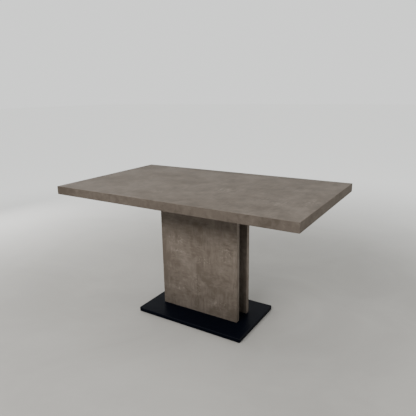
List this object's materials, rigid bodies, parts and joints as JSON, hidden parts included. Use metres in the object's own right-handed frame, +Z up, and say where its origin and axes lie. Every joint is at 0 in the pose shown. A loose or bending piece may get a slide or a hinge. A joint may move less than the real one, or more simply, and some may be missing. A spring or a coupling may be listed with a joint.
{
  "type": "extendable dining table",
  "caption": "Pedestal dining table with a thick stone-look top, a two-panel column on a black base plate, and swing-out end leaves stowed in the top.",
  "frame": {"origin": "on the floor under the middle of the top", "axes": "+X along the long side towards the right end, +Y from the front long edge to the rear one, +Z up"},
  "size_m": [1.4, 0.82, 0.765],
  "materials": {
    "stone_laminate": "matt grey-brown stone-look laminate on chipboard",
    "core_board": "raw chipboard and pine",
    "black_board": "black melamine",
    "black_lacquer": "satin black lacquer on fibreboard",
    "black_steel": "black powder coat",
    "zinc_steel": "bright zinc",
    "felt": "black felt"
  },
  "bodies": {
    "pedestal_and_top": {"base_plate": "black_lacquer", "floor_glide_front_left": "felt", "floor_glide_front_right": "felt", "floor_glide_rear_left": "felt", "floor_glide_rear_right": "felt", "column_panel_front": "stone_laminate", "column_panel_rear": "stone_laminate", "column_side_left": "black_board", "column_side_right": "black_board", "column_foot_block": "core_board", "column_head_block": "core_board", "head_plate": "black_steel", "frame_rail_front": "black_steel", "frame_rail_rear": "black_steel", "frame_cross_left": "black_steel", "frame_cross_right": "black_steel", "pivot_bracket_front_left": "black_steel", "pivot_bracket_front_right": "black_steel", "pivot_bracket_rear_left": "black_steel", "pivot_bracket_rear_right": "black_steel", "stow_keeper_front": "black_steel", "stow_keeper_rear": "black_steel", "top_board": "stone_laminate", "top_stiffener_front": "core_board", "top_stiffener_rear": "core_board", "edge_rail_front": "core_board", "edge_rail_rear": "core_board", "edge_rail_left": "core_board", "edge_rail_right": "core_board", "edge_band_front": "stone_laminate", "edge_band_rear": "stone_laminate", "edge_band_left": "stone_laminate", "edge_band_right": "stone_laminate"},
    "right_outer_arms": {"outer_arm_front_right": "black_steel", "outer_arm_rear_right": "black_steel"},
    "right_inner_arms": {"inner_arm_front_right": "black_steel", "inner_arm_rear_right": "black_steel"},
    "right_leaf": {"leaf_board_right": "stone_laminate", "leaf_carrier_front_right": "black_steel", "leaf_carrier_rear_right": "black_steel", "leaf_batten_front_right": "core_board", "leaf_batten_rear_right": "core_board", "leaf_cross_tube_right": "black_steel"},
    "right_front_bolt": {"lock_bolt_front_right": "zinc_steel"},
    "right_rear_bolt": {"lock_bolt_rear_right": "zinc_steel"},
    "left_outer_arms": {"outer_arm_front_left": "black_steel", "outer_arm_rear_left": "black_steel"},
    "left_inner_arms": {"inner_arm_front_left": "black_steel", "inner_arm_rear_left": "black_steel"},
    "left_leaf": {"leaf_board_left": "stone_laminate", "leaf_carrier_front_left": "black_steel", "leaf_carrier_rear_left": "black_steel", "leaf_batten_front_left": "core_board", "leaf_batten_rear_left": "core_board", "leaf_cross_tube_left": "black_steel"},
    "left_front_bolt": {"lock_bolt_front_left": "zinc_steel"},
    "left_rear_bolt": {"lock_bolt_rear_left": "zinc_steel"}
  },
  "joints": [
    {"name": "right_leaf_swing", "type": "hinge", "parent": "pedestal_and_top", "child": "right_outer_arms", "pos_m": [0.345, 0, 0.685], "axis": [0, -1, 0], "range_deg": [0, 189.82]},
    {"name": "right_leaf_level", "type": "hinge", "parent": "right_outer_arms", "child": "right_leaf", "pos_m": [0.18133, 0, 0.69], "axis": [0, -1, 0], "range_deg": [-189.83, 0]},
    {"name": "right_inner_arm_swing", "type": "hinge", "parent": "pedestal_and_top", "child": "right_inner_arms", "pos_m": [0.287, 0, 0.664], "axis": [0, -1, 0], "range_deg": [0, 189.83]},
    {"name": "right_front_bolt_slide", "type": "slide", "parent": "right_leaf", "child": "right_front_bolt", "axis": [0, 1, 0], "range_m": [0, 0.021]},
    {"name": "right_rear_bolt_slide", "type": "slide", "parent": "right_leaf", "child": "right_rear_bolt", "axis": [0, -1, 0], "range_m": [0, 0.021]},
    {"name": "left_leaf_swing", "type": "hinge", "parent": "pedestal_and_top", "child": "left_outer_arms", "pos_m": [-0.345, 0, 0.685], "axis": [0, 1, 0], "range_deg": [0, 189.82]},
    {"name": "left_leaf_level", "type": "hinge", "parent": "left_outer_arms", "child": "left_leaf", "pos_m": [-0.18133, 0, 0.69], "axis": [0, 1, 0], "range_deg": [-189.83, 0]},
    {"name": "left_inner_arm_swing", "type": "hinge", "parent": "pedestal_and_top", "child": "left_inner_arms", "pos_m": [-0.287, 0, 0.664], "axis": [0, 1, 0], "range_deg": [0, 189.83]},
    {"name": "left_front_bolt_slide", "type": "slide", "parent": "left_leaf", "child": "left_front_bolt", "axis": [0, 1, 0], "range_m": [0, 0.021]},
    {"name": "left_rear_bolt_slide", "type": "slide", "parent": "left_leaf", "child": "left_rear_bolt", "axis": [0, -1, 0], "range_m": [0, 0.021]}
  ],
  "couplings": [
    {"joint": "right_leaf_level", "follows": "right_leaf_swing", "ratio": -1},
    {"joint": "right_inner_arm_swing", "follows": "right_leaf_swing", "ratio": 1},
    {"joint": "left_leaf_level", "follows": "left_leaf_swing", "ratio": -1},
    {"joint": "left_inner_arm_swing", "follows": "left_leaf_swing", "ratio": 1}
  ]
}
